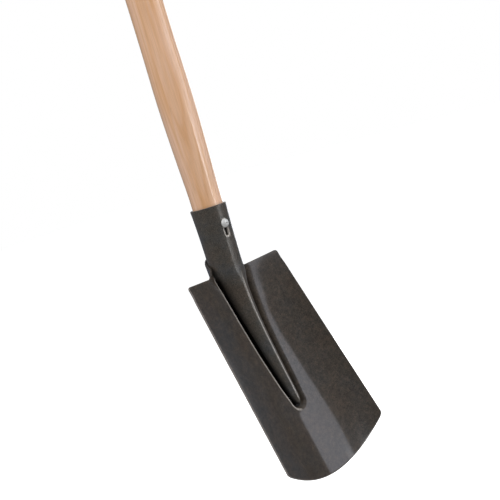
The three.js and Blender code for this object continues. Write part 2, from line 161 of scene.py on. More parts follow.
def mesh_object(name, verts_mm, faces, smooth_angle=40.0, attributes=None):
    """A mesh object in the row frame from millimetre points around the shoulder line."""
    me = bpy.data.meshes.new(name)
    co = np.asarray(verts_mm, float) * MM + np.array(ORIGIN)
    me.from_pydata([tuple(p) for p in co], [], [tuple(int(i) for i in f) for f in faces])
    for key, values in (attributes or {}).items():
        a = me.attributes.new(key, "FLOAT", "POINT")
        a.data.foreach_set("value", np.asarray(values, np.float32))
    me.validate()
    me.update()
    ob = bpy.data.objects.new(name, me)
    scene.collection.objects.link(ob)
    shade(ob, smooth_angle)
    return ob


def shade(ob, angle=40.0):
    """Smooth faces, with edges sharper than the angle kept crisp, and all normals outwards."""
    bm = bmesh.new()
    bm.from_mesh(ob.data)
    bmesh.ops.recalc_face_normals(bm, faces=bm.faces)
    lim = math.radians(angle)
    for f in bm.faces:
        f.smooth = True
    for e in bm.edges:
        e.smooth = not (len(e.link_faces) == 2 and e.calc_face_angle(0.0) > lim)
    bm.to_mesh(ob.data)
    bm.free()
    ob.data.update()


def loft(rings, close_start=True, close_end=True, start=0):
    """Faces of a closed loft over rings of equal length."""
    n = len(rings[0])
    faces = []
    for i in range(len(rings) - 1):
        for k in range(n):
            l = (k + 1) % n
            faces.append((start + i * n + k, start + i * n + l, start + (i + 1) * n + l, start + (i + 1) * n + k))
    if close_start:
        faces.append(tuple(start + k for k in range(n)))
    if close_end:
        faces.append(tuple(start + (len(rings) - 1) * n + k for k in range(n)))
    return faces


def lathe(profile, axis="Z", n=128, centre=(0, 0, 0)):
    """Rings turned around an axis from (radius, height) points, radius > 0."""
    t = np.arange(n) * 2 * math.pi / n
    rings = []
    for r, h in profile:
        c, s = r * np.cos(t), r * np.sin(t)
        z = np.full(n, h)
        p = {"Z": (c, s, z), "X": (z, c, s), "Y": (s, z, c)}[axis]
        rings.append(np.stack(p, 1) + np.array(centre))
    return rings


def boolean(ob, cutter, operation):
    """Applies a boolean with a cutter, then removes the cutter."""
    m = ob.modifiers.new("cut", "BOOLEAN")
    m.operation, m.object, m.solver = operation, cutter, "EXACT"
    bpy.context.view_layer.update()
    dg = bpy.context.evaluated_depsgraph_get()
    me = bpy.data.meshes.new_from_object(ob.evaluated_get(dg))
    ob.modifiers.clear()
    ob.data = me
    bpy.data.objects.remove(cutter)
    return ob


def turn(ob, angle):
    """Turns a mesh around the shaft's axis."""
    ob.data.transform(Matrix.Translation(ORIGIN) @ Matrix.Rotation(angle, 4, "Z") @ Matrix.Translation(-ORIGIN))
    return ob


def weld(ob, dist=0.00002):
    bm = bmesh.new()
    bm.from_mesh(ob.data)
    bmesh.ops.remove_doubles(bm, verts=bm.verts, dist=dist)
    bmesh.ops.dissolve_degenerate(bm, edges=bm.edges, dist=dist / 2)
    bm.to_mesh(ob.data)
    bm.free()


# ------------------------------------------------------------------ materials
def new_material(name):
    m = bpy.data.materials.new(name)
    m.use_nodes = True
    nt = m.node_tree
    nt.nodes.clear()
    out = nt.nodes.new("ShaderNodeOutputMaterial")
    bsdf = nt.nodes.new("ShaderNodeBsdfPrincipled")
    nt.links.new(bsdf.outputs[0], out.inputs[0])
    return m, nt, bsdf


class Nodes:
    """Short names for the nodes the materials are made of."""

    def __init__(self, nt):
        self.nt = nt
        self.coord = nt.nodes.new("ShaderNodeTexCoord").outputs["Object"]

    def link(self, a, b):
        self.nt.links.new(a, b)

    def mapping(self, scale=(1, 1, 1), rot=(0, 0, 0), loc=(0, 0, 0), src=None):
        n = self.nt.nodes.new("ShaderNodeMapping")
        n.inputs["Scale"].default_value = scale
        n.inputs["Rotation"].default_value = rot
        n.inputs["Location"].default_value = loc
        self.link(src or self.coord, n.inputs["Vector"])
        return n.outputs[0]

    def noise(self, scale, detail=4, rough=0.5, src=None, distortion=0.0):
        n = self.nt.nodes.new("ShaderNodeTexNoise")
        n.inputs["Scale"].default_value = scale
        n.inputs["Detail"].default_value = detail
        n.inputs["Roughness"].default_value = rough
        n.inputs["Distortion"].default_value = distortion
        self.link(src or self.coord, n.inputs["Vector"])
        return n.outputs["Fac"]

    def voronoi(self, scale, src=None, feature="F1"):
        n = self.nt.nodes.new("ShaderNodeTexVoronoi")
        n.feature = feature
        n.inputs["Scale"].default_value = scale
        self.link(src or self.coord, n.inputs["Vector"])
        return n.outputs["Distance"]

    def ramp(self, src, stops, interpolation="LINEAR"):
        n = self.nt.nodes.new("ShaderNodeValToRGB")
        n.color_ramp.interpolation = interpolation
        el = n.color_ramp.elements
        while len(el) > 1:
            el.remove(el[-1])
        el[0].position, el[0].color = stops[0][0], self.rgba(stops[0][1])
        for p, c in stops[1:]:
            e = el.new(p)
            e.color = self.rgba(c)
        self.link(src, n.inputs[0])
        return n.outputs[0]

    @staticmethod
    def rgba(c):
        return (c, c, c, 1) if isinstance(c, (int, float)) else (*c, 1)

    def math(self, op, a, b=None, clamp=False):
        n = self.nt.nodes.new("ShaderNodeMath")
        n.operation, n.use_clamp = op, clamp
        for i, x in enumerate((a, b)):
            if x is None:
                continue
            if isinstance(x, (int, float)):
                n.inputs[i].default_value = x
            else:
                self.link(x, n.inputs[i])
        return n.outputs[0]

    def mix(self, fac, a, b, mode="MIX"):
        n = self.nt.nodes.new("ShaderNodeMix")
        n.data_type, n.blend_type = "RGBA", mode
        for i, x in ((0, fac), (6, a), (7, b)):
            if isinstance(x, (int, float)):
                n.inputs[i].default_value = x if i == 0 else (x, x, x, 1)
            elif isinstance(x, tuple):
                n.inputs[i].default_value = (*x, 1)
            else:
                self.link(x, n.inputs[i])
        return n.outputs[2]

    def bump(self, height, strength, distance, normal=None):
        n = self.nt.nodes.new("ShaderNodeBump")
        n.inputs["Strength"].default_value = strength
        n.inputs["Distance"].default_value = distance
        self.link(height, n.inputs["Height"])
        if normal:
            self.link(normal, n.inputs["Normal"])
        return n.outputs[0]

    def attribute(self, name):
        n = self.nt.nodes.new("ShaderNodeAttribute")
        n.attribute_name = name
        return n.outputs["Fac"]

    def split(self, src=None):
        n = self.nt.nodes.new("ShaderNodeSeparateXYZ")
        self.link(src or self.coord, n.inputs[0])
        return n.outputs


def steel_material(name, painted_light_gain, coat, gloss, blotch):
    """Dark hot-rolled steel under a thin brown-tinted clear lacquer; the colour gain (second argument) scales the base
    colour, and above one it is painted lightening.
    """
    m, nt, b = new_material(name)
    n = Nodes(nt)
    k = lambda c: tuple(x * l for x, l in zip(c, painted_light_gain))
    cloud = n.noise(24, 5, 0.6)
    mottle = n.noise(190, 6, 0.72)
    fine = n.noise(900, 4, 0.65)
    base = n.ramp(cloud, [(0.38, k((0.046, 0.034, 0.024))), (0.5, k((0.042, 0.035, 0.027))), (0.62, k((0.036, 0.034, 0.031)))])
    spots = n.ramp(mottle, [(0.36, k((0.018, 0.014, 0.011))), (0.5, k((0.042, 0.033, 0.025))), (0.64, k((0.078, 0.054, 0.037)))])
    col = n.mix(blotch, base, spots)
    col = n.mix(1.0, col, n.ramp(fine, [(0.34, 0.62), (0.66, 1.38)]), "MULTIPLY")
    # Painted shade: colour darkened to near-black in the blade's recess, low on the nose's flanks and along the
    # tongue's seam; lighter bare steel along worn edges, plus painted highlight lines on the left recess rim and the
    # nose's crest.
    col = n.mix(n.math("MULTIPLY", n.attribute("painted_shade"), 0.93), col, (0.0030, 0.0024, 0.0020))
    wear_and_highlight = n.math("MULTIPLY", n.attribute("wear_and_highlight"), n.ramp(n.noise(220, 5, 0.6), [(0.30, 0.62), (0.58, 1.0)]), True)
    col = n.mix(wear_and_highlight, col, (0.50, 0.46, 0.42))
    n.link(col, b.inputs["Base Color"])
    b.inputs["Metallic"].default_value = 0.15
    n.link(n.ramp(n.noise(300, 5, 0.6), [(0.25, 0.36), (0.75, 0.52)]), b.inputs["Roughness"])
    b.inputs["Specular IOR Level"].default_value = 0.25
    # The coat is thinned where the shade is painted, which also takes the reflections out there.
    n.link(n.math("MULTIPLY", n.math("SUBTRACT", 1.0, n.attribute("painted_shade")), coat), b.inputs["Coat Weight"])
    b.inputs["Coat Roughness"].default_value = gloss
    b.inputs["Coat IOR"].default_value = 1.5
    h = n.math("ADD", n.math("MULTIPLY", n.noise(520, 4, 0.6), 0.7), n.math("MULTIPLY", n.noise(70, 3, 0.5), 2.2))
    n.link(n.bump(h, 0.14, 0.0004), b.inputs["Normal"])
    return m


def zinc_material():
    m, nt, b = new_material("zinc_plated_steel")
    n = Nodes(nt)
    col = n.ramp(n.noise(500, 4, 0.6), [(0.36, (0.62, 0.63, 0.63)), (0.62, (0.88, 0.88, 0.87))])
    n.link(col, b.inputs["Base Color"])
    b.inputs["Metallic"].default_value = 0.45
    n.link(n.ramp(n.noise(800, 4, 0.6), [(0.3, 0.30), (0.7, 0.46)]), b.inputs["Roughness"])
    n.link(n.bump(n.noise(1200, 3, 0.6), 0.25, 0.0002), b.inputs["Normal"])
    return m


def wood_material(name, axis="Z", seed=0.0, tint=(1, 1, 1), coat=0.9, end_dark=0.0):
    """Ash: growth rings cut lengthwise into long orange-brown streaks, with fine pores, under satin varnish."""
    m, nt, b = new_material(name)
    n = Nodes(nt)
    long = {"Z": (1, 1, 0.07), "X": (0.07, 1, 1)}[axis]
    rot = {"Z": (0, 0, 0), "X": (0, 0, 0)}[axis]
    drift = n.mapping(scale=(1, 1, 0.9) if axis == "Z" else (0.9, 1, 1), loc=(seed, seed * 1.7, seed * 0.3))
    grain_v = n.mapping(scale=long, rot=rot, loc=(seed, seed * 0.6, seed * 0.2))
    # Distance from the pith, bent slowly along the length, gives the growth rings.
    wobble = n.noise(3.2, 2, 0.5, src=drift)
    parts = n.split(n.mapping(scale=(1, 1, 1), loc=(0.055 + seed * 0.01, 0.018, 0.0) if axis == "Z" else (0.0, 0.018, 0.055)))
    if axis == "Z":
        a, c = parts[0], parts[1]
    else:
        a, c = parts[1], parts[2]
    bend = n.math("MULTIPLY", n.math("SUBTRACT", wobble, 0.5), 0.030)
    a2 = n.math("ADD", a, bend)
    dist = n.math("SQRT", n.math("ADD", n.math("MULTIPLY", a2, a2), n.math("MULTIPLY", c, c)))
    dist = n.math("ADD", dist, n.math("MULTIPLY", n.noise(30, 3, 0.5, src=grain_v), 0.0035))
    ring = n.math("FRACT", n.math("MULTIPLY", dist, 260.0))
    early = n.ramp(ring, [(0.0, 0.75), (0.12, 1.0), (0.34, 0.42), (0.7, 0.1), (0.92, 0.16), (1.0, 0.72)])
    light = (0.80 * tint[0], 0.505 * tint[1], 0.325 * tint[2])
    dark = (0.66 * tint[0], 0.34 * tint[1], 0.15 * tint[2])
    col = n.mix(n.math("MULTIPLY", early, 0.55), light, dark)
    # Broad warm and pinkish streaks.
    streak = n.noise(55, 3, 0.55, src=grain_v)
    col = n.mix(n.ramp(streak, [(0.44, 0.0), (0.62, 0.75)]), col, (0.70 * tint[0], 0.37 * tint[1], 0.165 * tint[2]))
    pale = n.noise(80, 3, 0.5, src=n.mapping(scale=long, loc=(seed + 3.1, 1.3, 0.4)))
    col = n.mix(n.ramp(pale, [(0.48, 0.0), (0.66, 0.6)]), col, (0.86 * tint[0], 0.60 * tint[1], 0.47 * tint[2]))
    # Fine fibres and open pores.
    fibre_scale = {"Z": (1, 1, 0.018), "X": (0.018, 1, 1)}[axis]
    fibre = n.noise(1500, 3, 0.6, src=n.mapping(scale=fibre_scale, loc=(seed, 0, 0)))
    col = n.mix(1.0, col, n.ramp(fibre, [(0.32, 0.90), (0.66, 1.05)]), "MULTIPLY")
    pore = n.noise(2600, 2, 0.5, src=n.mapping(scale={"Z": (1, 1, 0.03), "X": (0.03, 1, 1)}[axis], loc=(seed, 2, 0)))
    pore_mask = n.math("MULTIPLY", n.ramp(pore, [(0.60, 0.0), (0.68, 1.0)]), n.math("ADD", n.math("MULTIPLY", early, 0.7), 0.15))
    col = n.mix(n.math("MULTIPLY", pore_mask, 0.45), col, (0.40 * tint[0], 0.22 * tint[1], 0.11 * tint[2]))
    # Painted shade: near-black on the shaft inside the socket, seen through the slot.
    col = n.mix(n.attribute("painted_shade"), col, (0.012, 0.009, 0.007))
    n.link(col, b.inputs["Base Color"])
    n.link(n.ramp(fibre, [(0.3, 0.40), (0.7, 0.52)]), b.inputs["Roughness"])
    b.inputs["Coat Weight"].default_value = coat
    b.inputs["Coat Roughness"].default_value = 0.15
    h = n.math("SUBTRACT", n.math("MULTIPLY", fibre, 0.5), n.math("MULTIPLY", pore_mask, 0.6))
    n.link(n.bump(h, 0.22, 0.0003), b.inputs["Normal"])
    return m


# The tube's steel is a lighter, bluer copy of the blade's steel: painted light standing in for the light the tube
# reflects.
STEEL, STEEL_TUBE_PAINTED_LIGHTER, ZINC = steel_material("lacquered_steel", (1.0, 1.0, 1.03), 1.0, 0.085, 0.5), steel_material("lacquered_steel_tube_painted_lighter", (1.7, 1.86, 2.1), 0.7, 0.22, 0.22), zinc_material()
ASH = wood_material("ash_wood", "Z", 0.0)
ASH_GRIP = wood_material("ash_wood_grip", "X", 4.3)
OAK = wood_material("oak_wedge", "Z", 9.1, tint=(0.62, 0.56, 0.5), coat=0.1)


def finish_piece(ob, node, material):
    ob.data.materials.clear()
    ob.data.materials.append(material)
    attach(ob, "root")
    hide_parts(node)
    return ob


# ---------------------------------------------------------------------- blade
def build_blade():
    inner = np.concatenate([np.arange(0, 0.80, 0.035), np.arange(0.80, 1.14, 0.0105), np.arange(1.15, 1.32, 0.03), [1.33]])
    wing = np.concatenate([np.linspace(0.03, 0.93, 34), 1 - np.array([2.6, 1.8, 1.2, 0.85, 0.6, 0.4, 0.24, 0.12, 0.04, 0]) / 42.0])
    half = [("x", x) for x in inner] + [("f", f) for f in wing]
    cols = [(k, x, -1) for k, x in half[:0:-1]] + [(k, x, 1) for k, x in half]
    near = np.array([0, 0.04, 0.12, 0.24, 0.4, 0.6, 0.85, 1.2, 1.8, 2.6])
    top = -LIP + near
    mid = np.concatenate([np.arange(-LIP + 3.6, 20, 1.0), np.arange(20, 148, 1.9), np.arange(148, 176, 0.75), np.arange(177, 217.5, 1.7)])
    bottom = SIDE_LENGTH - near[::-1]
    rows = np.concatenate([top, mid, bottom])

    def lip_top(u):
        return -tongue(u)

    R, C = len(rows), len(cols)
    row = rows[:, None] * np.ones((1, C))
    a = half_width(row)
    edge = blade_width(np.maximum(row, 0)) / 2
    kind = np.array([k == "x" for k, _, _ in cols])[None, :]
    val = np.array([x for _, x, _ in cols])[None, :]
    side = np.array([s for _, _, s in cols], float)[None, :]
    u = side * np.where(kind, val * a, 1.33 * a + val * (edge - 1.33 * a))
    lt = lip_top(u)
    v = np.where(row < 20, lt + (20 - lt) * (row + LIP) / (20 + LIP), row)
    bot = SIDE_LENGTH + ARC_RISE * (1 - (2 * u / WIDTH_BOTTOM) ** 2)
    v = np.where(row > 175, 175 + (bot - 175) * (row - 175) / (SIDE_LENGTH - 175), v)
    du = edge - np.abs(u)
    is_top = v < 100
    dv = np.where(is_top, v - lt, bot - v)
    d_edge = np.minimum(du, dv)
    patch = (du < CORNER_R) & (dv < CORNER_R)
    p = np.clip((CORNER_R - du) / CORNER_R, 0, 1)
    q = np.clip((CORNER_R - dv) / CORNER_R, 0, 1)
    p2, q2 = p * np.sqrt(1 - q * q / 2), q * np.sqrt(1 - p * p / 2)
    u = np.where(patch, side * (edge - CORNER_R + p2 * CORNER_R), u)
    v = np.where(patch, np.where(is_top, lt + CORNER_R - q2 * CORNER_R, bot - CORNER_R + q2 * CORNER_R), v)

    e = 0.05
    at = lambda uu, vv: blade_xyz(uu, vv, sheet_w(uu, vv))
    normal = np.cross(at(u, v + e) - at(u, v - e), at(u + e, v) - at(u - e, v))
    normal /= np.linalg.norm(normal, axis=-1, keepdims=True)
    flip = np.sign(normal @ FRONT)
    normal *= np.where(flip == 0, 1, flip)[..., None]
    rr = 0.95
    th = SHEET / 2 * np.sqrt(np.clip(1 - (1 - np.clip(d_edge / rr, 0, 1)) ** 2, 0, 1))
    th = np.maximum(th, 0.12)
    mid_p = at(u, v)
    front = mid_p + normal * th[..., None]
    back = mid_p - normal * th[..., None]
    verts = np.concatenate([front.reshape(-1, 3), back.reshape(-1, 3)])
    N = R * C
    ii, jj = np.meshgrid(np.arange(R - 1), np.arange(C - 1), indexing="ij")
    A = (ii * C + jj).ravel()
    F = np.stack([A, A + C, A + C + 1, A + 1], 1)
    B = np.stack([N + A, N + A + 1, N + A + C + 1, N + A + C], 1)
    t = np.arange(C - 1)
    T = np.stack([t, t + 1, N + t + 1, N + t], 1)
    l = (R - 1) * C + t
    L = np.stack([l + 1, l, N + l, N + l + 1], 1)
    s = np.arange(R - 1) * C
    S1 = np.stack([s + C, s, N + s, N + s + C], 1)
    s2 = s + C - 1
    S2 = np.stack([s2, s2 + C, N + s2 + C, N + s2], 1)
    faces = np.concatenate([F, B, T, L, S1, S2])
    inside = recess_inside(u, v)
    edge_wear = np.clip(1 - d_edge / 1.1, 0, 1)
    edge_wear *= np.clip((np.abs(u) - 30) / 6, 0.1, 1) * (v < 100) + (v >= 100)
    # Painted highlight: a bright line along the left rim of the recess only, mixed with the real wear on the cut edges.
    rim = np.exp(-((inside + 0.8) / 1.3) ** 2) * np.clip((v + 1) / 3, 0, 1) * np.clip(-u / 6, 0, 1)
    # Painted shade: darkening inside the recess and over the sheet just below the tongue, where shade falls.
    recess_painted_shade = np.clip((inside - 1.7) / 2.2, 0, 1) * np.clip((v + 3) / 5, 0, 1)
    recess_painted_shade = np.maximum(recess_painted_shade, 0.72 * np.clip((2 - v) / 3, 0, 1) * np.clip((inside + 5) / 3, 0, 1))
    wear_and_highlight = np.concatenate([np.maximum(edge_wear * 0.5, rim).ravel(), (edge_wear * 0.5).ravel()])
    painted_shade = np.concatenate([recess_painted_shade.ravel(), np.zeros(N)])
    return mesh_object("blade_sheet", verts, faces, 60, {"wear_and_highlight": wear_and_highlight, "painted_shade": painted_shade})


finish_piece(build_blade(), "blade", STEEL)


# --------------------------------------------------------------------- socket
def ring(centre, forward, b, to_front, to_back, n, m=0.0):
    t = np.arange(n) * 2 * math.pi / n
    peak = 1 - (np.hypot(b * np.sin(t), RIDGE_C) - RIDGE_C) / (math.hypot(b, RIDGE_C) - RIDGE_C)
    f = np.where(np.cos(t) > 0, to_front * ((1 - m) * np.cos(t) + m * peak), to_back * np.cos(t))
    p = np.array(centre, float)[None, :] + f[:, None] * np.array(forward)[None, :]
    p[:, 0] += b * np.sin(t)
    return p


def upright(z, r, n):
    return ring((0, 0, z), (0, -1, 0), r, r, r, n)


def nose(v, inset, n, shrink=1.0):
    w = float(widest_w(v))
    back = float(centre_w(v) - depth(v)) + SHEET / 2 + GAP
    return ring(blade_xyz(0, v, w), FRONT, (float(nose_b(v)) - inset) * shrink, (float(crest(v)) - w - inset) * shrink, (w - back - inset) * shrink, n, float(ridge(v)))


def knee_blend(rings_a, rings_b, count):
    """Rings between the last upright ring and the first nose ring, on a smooth path."""
    a0, a1, b0, b1 = rings_a[-2], rings_a[-1], rings_b[0], rings_b[1]
    out = []
    la = np.linalg.norm(a1 - a0, axis=1, keepdims=True)
    lb = np.linalg.norm(b1 - b0, axis=1, keepdims=True)
    span = np.linalg.norm(b0 - a1, axis=1, keepdims=True)
    ta, tb = (a1 - a0) / la * span, (b1 - b0) / lb * span
    for i in range(1, count + 1):
        t = i / (count + 1)
        out.append((2 * t**3 - 3 * t**2 + 1) * a1 + (t**3 - 2 * t**2 + t) * ta + (-2 * t**3 + 3 * t**2) * b0 + (t**3 - t**2) * tb)
    return out


def build_socket():
    n = 192
    zs = np.concatenate([[75.05, 74.0], np.arange(72, 9, -2.0), [10.0, 9.0]])
    up = [upright(75.6, float(socket_r(75.6)) - 0.6, n), upright(75.45, float(socket_r(75.5)) - 0.2, n)]
    up += [upright(z, float(socket_r(z)), n) for z in zs]
    vs = np.concatenate([[10.0, 11.0], np.arange(13, 150, 2.0), np.arange(150, 164.5, 0.8)])
    down = [nose(v, 0, n) for v in vs]
    last = nose(164.6, 0, n)
    down += [last]
    tip = blade_xyz(0, 165.2, -2.4)
    down += [tip + (last - tip) * s + (last - last) for s in (0.75, 0.4, 0.12)]
    outer = up + knee_blend(up, down, 14) + down
    wall = lambda z: WALL + (WALL_MOUTH - WALL) * z / MOUTH_Z
    bz = np.array([75.6, 75.2, 74, 66, 58, 50, 40, 30, 20, 11, 10.0])
    b_up = [upright(75.6, float(socket_r(75.6)) - 2.3, n)]
    b_up += [upright(z, float(socket_r(z)) - wall(z), n) for z in bz[1:]]
    b_down = [nose(v, WALL, n) for v in (10.0, 12.0, 18, 28, 40)] + [nose(50, WALL, n, 0.6), nose(52, WALL, n, 0.25)]
    bore = b_up + knee_blend(b_up, b_down, 4) + b_down
    faces = loft(outer, close_start=False, close_end=True)
    base = len(outer) * n
    inner_faces = [tuple(reversed(f)) for f in loft(bore, close_start=False, close_end=True, start=base)]
    rim = [((k + 1) % n, k, base + k, base + (k + 1) % n) for k in range(n)]
    verts = np.concatenate([np.concatenate(outer), np.concatenate(bore)])
    ob = mesh_object("socket_tube", verts, faces + inner_faces + rim, 50)
    # The slot, with a coined bevel around its outer edge.
    ob = boolean(ob, turn(slot_cutter(), SLOT_TURN), "DIFFERENCE")
    weld(ob)
    # The weld seam along the edge of the sheet's tongue.
    u = np.linspace(-30.0, 24.0, 96)
    path = blade_xyz(u, -tongue(u) + 0.3, sheet_w(u, -tongue(u) + 0.3) + 1.1)
    along = np.gradient(path, axis=0)
    along /= np.linalg.norm(along, axis=1, keepdims=True)
    side = np.cross(along, FRONT)
    side /= np.linalg.norm(side, axis=1, keepdims=True)
    over = np.cross(side, along)
    bead_r = 1.45 * np.clip(np.minimum(u + 30.0, 24.0 - u) / 3.0, 0.1, 1) ** 0.5 * (1 + 0.05 * np.sin(u * 2.6))
    t = np.arange(20) * 2 * math.pi / 20
    rings = [path[i] + bead_r[i] * (np.cos(t)[:, None] * side[i] + np.sin(t)[:, None] * over[i]) for i in range(len(u))]
    bead = mesh_object("seam", np.concatenate(rings), loft(rings), 60)
    bm = bmesh.new()
    bm.from_mesh(ob.data)
    bm.from_mesh(bead.data)
    bm.to_mesh(ob.data)
    bm.free()
    bpy.data.objects.remove(bead)
    co = np.array([v.co for v in ob.data.vertices])
    p = (co - np.array(ORIGIN)) / MM
    # Bare steel on the slot's bevel, light wear on the mouth's rim.
    across = p[:, 0] * math.cos(SLOT_TURN) + p[:, 1] * math.sin(SLOT_TURN)
    d = np.hypot(across, p[:, 2] - np.clip(p[:, 2], SLOT_BOTTOM, SLOT_TOP))
    near = (p[:, 1] < -15) & (d < 3.75)
    wear_and_highlight = np.where(near, 1.0, 0.0)
    wear_and_highlight = np.maximum(wear_and_highlight, np.clip((p[:, 2] - 75.2) / 0.4, 0, 1) * 0.35)
    # Painted highlight: a lighter line along the ridge's crest; painted shade: darkening low on the nose's flanks.
    v, w = -(p[:, 1] * math.sin(CRANK) + p[:, 2] * math.cos(CRANK)), -p[:, 1] * math.cos(CRANK) + p[:, 2] * math.sin(CRANK)
    on_crest = np.exp(-((p[:, 0] / 0.75) ** 2)) * np.clip((v - 6) / 12, 0, 1) * np.clip((163 - v) / 6, 0, 1) * (w > widest_w(v))
    wear_and_highlight = np.maximum(wear_and_highlight, 0.66 * on_crest)
    low = np.clip(1 - (w - centre_w(v) - 0.5) / np.clip(0.45 * (crest(v) - centre_w(v)), 1.5, 7), 0, 1) * np.clip((v - 0) / 6, 0, 1)
    # Painted shade over the sheet around the tongue's weld seam.
    seam = (np.abs(p[:, 0]) < 31) & (sheet_w(p[:, 0], v) + 3.2 > w) & (v < 1)
    low = np.maximum(low, np.where(seam, 0.45, 0.0))
    for key, value in (("wear_and_highlight", wear_and_highlight), ("painted_shade", low)):
        a = ob.data.attributes.new(key, "FLOAT", "POINT")
        a.data.foreach_set("value", value.astype(np.float32))
    shade(ob, 38)
    return ob


def obround(r, z0, z1, m=24):
    t = np.linspace(0, math.pi, m)
    top = np.stack([r * np.cos(t), z1 + r * np.sin(t)], 1)
    low = np.stack([-r * np.cos(t), z0 - r * np.sin(t)], 1)
    return np.concatenate([top, low])


def slot_cutter():
    rings = []
    for y, r in ((-30.0, 3.7), (-20.2, 3.7), (-19.55, 3.55), (-18.75, 2.35), (-18.6, SLOT_R), (-12.0, SLOT_R)):
        o = obround(r, SLOT_BOTTOM, SLOT_TOP)
        rings.append(np.stack([o[:, 0], np.full(len(o), y), o[:, 1]], 1))
    return mesh_object("slot_cutter", np.concatenate(rings), loft(rings), 30)


finish_piece(build_socket(), "socket", STEEL_TUBE_PAINTED_LIGHTER)


# ---------------------------------------------------------------------- screw
def build_screw():
    head = [(0.05, 3.05), (0.9, 3.03), (1.8, 2.9), (2.7, 2.62), (3.5, 2.2), (4.2, 1.65), (4.7, 1.0), (4.95, 0.45), (5.0, 0.2), (4.9, 0.02), (4.6, 0.0)]
    shank = [(2.0, -0.001), (2.0, -2.0)]
    z, r = -2.0, 2.0
    while z > -19:
        shank += [(1.55, z - 0.35), (1.55, z - 0.75), (2.0, z - 1.1), (2.0, z - 1.3)]
        z -= 1.6
    shank += [(1.3, -21.0), (0.6, -23.2), (0.05, -24.0)]
    seat = -(float(socket_r(SCREW_Z)) + GAP)
    prof = [(r, seat - h) for r, h in head + shank]
    rings = lathe(prof, "Y", 72, (0, 0, SCREW_Z))
    ob = mesh_object("socket_screw_head", np.concatenate(rings), loft(rings), 35)
    # A shallow cross recess in the head.
    for k in range(2):
        bm = bmesh.new()
        bmesh.ops.create_cube(bm, size=1.0)
        bmesh.ops.scale(bm, verts=bm.verts, vec=(5.0 * MM, 2.0 * MM, 0.95 * MM))
        for vert in bm.verts:
            if vert.co.y > 0:
                vert.co.x *= 0.35
        bmesh.ops.rotate(bm, verts=bm.verts, cent=(0, 0, 0), matrix=Matrix.Rotation(math.radians(25 + 90 * k), 3, "Y"))
        bmesh.ops.translate(bm, verts=bm.verts, vec=ORIGIN + Vector((0, (seat - 3.05 + 0.35) * MM, SCREW_Z * MM)))
        me = bpy.data.meshes.new("cross")
        bm.to_mesh(me)
        bm.free()
        c = bpy.data.objects.new("cross", me)
        scene.collection.objects.link(c)
        boolean(ob, c, "DIFFERENCE")
    weld(ob)
    turn(ob, SLOT_TURN)
    shade(ob, 35)
    return ob


finish_piece(build_screw(), "socket_screw", ZINC)


# ---------------------------------------------------------------------- shaft
def cylinder(name, r, axis, lo, hi, centre=(0, 0, 0), n=96):
    rings = lathe([(r, lo), (r, hi)], axis, n, centre)
    return mesh_object(name, np.concatenate(rings), loft(rings), 30)


def wedge_solid(name, grow):
    top, tip = TOP_Z + 2, TOP_Z - WEDGE_DEPTH - grow
    slope = (WEDGE_TOP_T - WEDGE_TIP_T) / 2 / WEDGE_DEPTH
    t = lambda z: WEDGE_TIP_T / 2 + slope * (z - (TOP_Z - WEDGE_DEPTH)) + grow
    q = np.array([(-t(tip), tip), (t(tip), tip), (t(top), top), (-t(top), top)])
    rings = [np.stack([q[:, 0], np.full(4, y), q[:, 1]], 1) for y in (-20.0, 20.0)]
    return mesh_object(name, np.concatenate(rings), loft(rings), 30)


def build_shaft():
    zs = np.concatenate([[2.0], np.arange(6, 836, 4.0), [836.0]])
    prof = [(12.6, SHAFT_END_Z), (13.6, SHAFT_END_Z + 0.15), (14.9, 0.6)] + [(float(shaft_r(z)), z) for z in zs]
    rings = lathe(prof, "Z", 144)
    ob = mesh_object("shaft_wood", np.concatenate(rings), loft(rings), 35)
    boolean(ob, cylinder("cope", GRIP_R + GAP, "X", -60, 60, (0, 0, GRIP_Z), 144), "DIFFERENCE")
    tenon = cylinder("tenon", TENON_R, "Z", GRIP_Z - 30, TOP_Z + 2)
    boolean(tenon, cylinder("tenon_top", GRIP_R - 0.1, "X", -60, 60, (0, 0, GRIP_Z - 0.0), 144), "INTERSECT")
    neck = cylinder("neck", TENON_R, "Z", GRIP_Z - 30, GRIP_Z - 5)
    boolean(ob, neck, "UNION")
    boolean(ob, tenon, "UNION")
    boolean(ob, wedge_solid("kerf", GAP), "DIFFERENCE")
    boolean(ob, cylinder("pin_hole", PIN_R + GAP, "Y", -30, 30, (PIN_X, 0, GRIP_Z), 48), "DIFFERENCE")
    seat = -(float(socket_r(SCREW_Z)) + GAP)
    boolean(ob, turn(cylinder("screw_hole", 2.3, "Y", -30, seat + 26, (0, 0, SCREW_Z), 48), SLOT_TURN), "DIFFERENCE")
    weld(ob)
    # Painted shade: the wood inside the socket is darkened, standing in for the shadow there.
    z = np.array([v.co.z for v in ob.data.vertices]) / MM - ORIGIN.z / MM
    a = ob.data.attributes.new("painted_shade", "FLOAT", "POINT")
    a.data.foreach_set("value", np.clip((74.5 - z) / 1.5, 0, 1).astype(np.float32))
    shade(ob, 35)
    return ob


finish_piece(build_shaft(), "shaft", ASH)


def build_grip():
    f = curve(GRIP_PROFILE)
    xs = np.concatenate([np.arange(0, 55, 2.0), np.arange(55, 59, 0.4), np.linspace(59, 60, 9)])
    half = [(float(f(x)), x) for x in xs]
    prof = [(0.6, -60.0), (9.6, -60.0)] + [(r, -x) for r, x in half[:0:-1]] + half + [(9.6, 60.0), (0.6, 60.0)]
    rings = lathe(prof, "X", 144, (0, 0, GRIP_Z))
    ob = mesh_object("t_grip_wood", np.concatenate(rings), loft(rings), 35)
    boolean(ob, cylinder("mortise", TENON_R + GAP, "Z", GRIP_Z - 30, TOP_Z + 10), "DIFFERENCE")
    boolean(ob, cylinder("pin_hole", PIN_R + GAP, "Y", -30, 30, (PIN_X, 0, GRIP_Z), 48), "DIFFERENCE")
    weld(ob)
    shade(ob, 35)
    return ob


finish_piece(build_grip(), "t_grip", ASH_GRIP)


